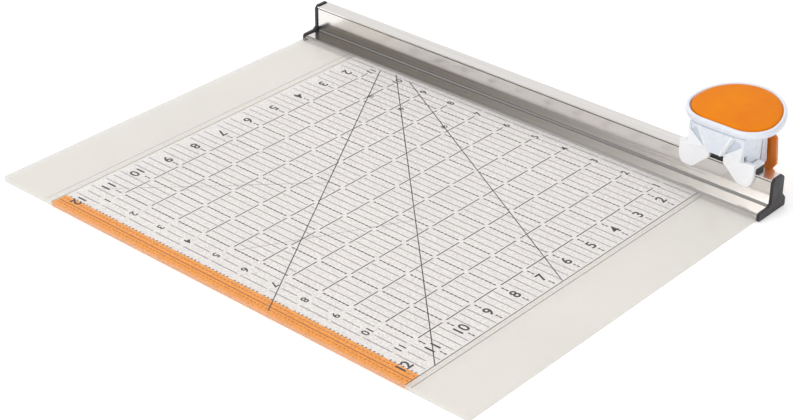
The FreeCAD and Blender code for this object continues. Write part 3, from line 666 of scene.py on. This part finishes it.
def tube(bm, path, radius, sides=8):
    """A round wire along the path, capped at both ends."""
    rings = []
    for k, point in enumerate(path):
        along = (path[min(k + 1, len(path) - 1)] - path[max(k - 1, 0)]).normalized()
        across = along.cross(Vector((1, 0, 0) if abs(along.z) > 0.9 else (0, 0, 1))).normalized()
        over = across.cross(along)
        rings.append([bm.verts.new(point + (across * math.cos(turn) + over * math.sin(turn))
                                   * radius)
                      for turn in (2 * math.pi * j / sides for j in range(sides))])
    closed(bm, rings)


WIRE, TURNS = 0.35 * MM, 6
for name in ("return_spring_left", "return_spring_right"):
    low, high = (Vector(corner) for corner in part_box(name))
    middle = (low + high) / 2
    reach = (high.x - low.x) / 2 - WIRE
    rise = high.z - low.z - 2 * WIRE
    steps = 28 * TURNS
    path = [Vector((middle.x + reach * math.cos(2 * math.pi * TURNS * k / steps),
                    middle.y + reach * math.sin(2 * math.pi * TURNS * k / steps),
                    low.z + WIRE + rise * k / steps)) for k in range(steps + 1)]
    bm = bmesh.new()
    tube(bm, path, WIRE)
    coil = piece(name + "_coil", from_bmesh(bm, name + "_coil"), spring_metal, "carriage",
                 True)
    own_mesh(coil)
    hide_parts(name)

# Ridges round the outer half of the nut, for fingers.
nut_low, nut_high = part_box("blade_nut")
nut_radius = (nut_high[0] - nut_low[0]) / 2
RIDGES = 24
grips = bmesh.new()
for k in range(RIDGES):
    turn = 2 * math.pi * k / RIDGES
    out = Vector((math.cos(turn), 0, math.sin(turn)))
    side = Vector((-math.sin(turn), 0, math.cos(turn)))
    foot = Vector((carriage_x, 0, hub_z)) + out * (nut_radius - 0.3 * MM)
    loops = []
    for y in (nut_high[1] - 2.6 * MM, nut_high[1] - 0.5 * MM):
        loops.append([grips.verts.new(foot + (side * across + out * up) * MM + Vector((0, y, 0)))
                      for across, up in ((-0.6, 0), (-0.3, 0.7), (0.3, 0.7), (0.6, 0))])
    closed(grips, loops)
piece("blade_nut_knurl", from_bmesh(grips, "blade_nut_knurl"), nut_plastic, "handle")

# Upright ribs, sunk a little over halfway into the guard's outer face.
guard_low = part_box("blade_guard")[0]
guard_rear = max(v.co.y for v in nodes["blade_guard"].data.vertices
                 if 9 * MM < v.co.z - guard_low[2] < 13 * MM)
RIB_STEP, RIB_RADIUS, RIB_SUNK = 7.0 * MM, 0.62 * MM, 0.1 * MM
ribs = bmesh.new()
for step in (-2, -1, 0, 1, 2):
    spots = [Vector((carriage_x + step * RIB_STEP, guard_rear - RIB_SUNK, guard_low[2] + z * MM))
             for z in (12.5, 13.0, 14.0, 20.0, 26.0, 27.0, 27.5)]
    tube(ribs, spots, RIB_RADIUS, 10)
piece("blade_guard_ribs", from_bmesh(ribs, "blade_guard_ribs"), guard_plastic, "guard",
      True)

# ------------------------------------------------------------------ stage, light, camera
ground = bmesh.new()
bmesh.ops.create_grid(ground, x_segments=1, y_segments=1, size=6.0)
floor_mesh = from_bmesh(ground, "floor")
floor_obj = bpy.data.objects.new("floor", floor_mesh)
floor_obj.location.z = -0.0002
bpy.context.collection.objects.link(floor_obj)
paper, tree, shader = new_material("paper_floor")
grain = noise(tree, 3.0, stretched(tree))
tree.links.new(ramp(tree, grain, [(0.3, (0.92, 0.92, 0.92, 1)), (0.7, (0.94, 0.94, 0.94, 1))]),
               shader.inputs["Base Color"])
shader.inputs["Roughness"].default_value = 0.9
shader.inputs["Specular IOR Level"].default_value = 0.1
shader.inputs["Emission Color"].default_value = (1.0, 1.0, 1.0, 1.0)
shader.inputs["Emission Strength"].default_value = 0.22
floor_mesh.materials.append(paper)

# A white studio with one dark side, which the rail reflects, and a dimmer right side.
DARK_SIDE = (-0.768, -0.590, 0.250)
world = bpy.data.worlds.new("studio")
world.use_nodes = True
sky = world.node_tree
backdrop = sky.nodes["Background"]
heading = sky.nodes.new("ShaderNodeTexCoord")
side = sky.nodes.new("ShaderNodeVectorMath")
side.operation = "DOT_PRODUCT"
side.inputs[1].default_value = DARK_SIDE
sky.links.new(heading.outputs["Generated"], side.inputs[0])
glow = ramp(sky, side.outputs["Value"], [(0.870, (1, 1, 1, 1)),
                                         (0.955, (0.165, 0.150, 0.128, 1))])
right = sky.nodes.new("ShaderNodeSeparateXYZ")
sky.links.new(heading.outputs["Generated"], right.inputs[0])
sky.links.new(dimmed(sky, glow, right.outputs["X"], 0.2, 0.8, 1.0, 0.45), backdrop.inputs["Color"])
backdrop.inputs["Strength"].default_value = 0.90
bpy.context.scene.world = world


def soft_light(name, at, aim, size, power):
    """A rectangular area light at one place, aimed at another."""
    lamp = bpy.data.lights.new(name, "AREA")
    lamp.shape = "RECTANGLE"
    lamp.size, lamp.size_y = size
    lamp.energy = power
    obj = bpy.data.objects.new(name, lamp)
    obj.location = at
    obj.rotation_euler = (Vector(aim) - Vector(at)).to_track_quat("-Z", "Y").to_euler()
    bpy.context.collection.objects.link(obj)


soft_light("key_light", (0.0, 0.5, 2.2), (0, 0, 0), (2.4, 1.6), 9.0)
soft_light("side_light", (-1.6, 0.3, 1.2), (0, 0.1, 0), (1.0, 1.0), 2.0)
soft_light("front_light", (-0.1, -2.0, 0.9), (0, 0.1, 0.03), (1.6, 0.8), 14.0)

# The camera stands at the front right, 30 degrees above the plate.
camera = bpy.data.cameras.new("camera")
camera.sensor_width = 36.0
camera.lens = 88.205
eye = Vector((0.74025, -0.82833, 0.63825))
aim = Vector((0.01952, -0.01179, 0.0))
roll = math.radians(0.2066)
camera_obj = bpy.data.objects.new("camera", camera)
camera_obj.matrix_world = (Matrix.Translation(eye)
                           @ (aim - eye).to_track_quat("-Z", "Y").to_matrix().to_4x4()
                           @ Matrix.Rotation(roll, 4, "Z"))
bpy.context.collection.objects.link(camera_obj)
bpy.context.scene.camera = camera_obj
bpy.context.scene.view_settings.view_transform = "Standard"
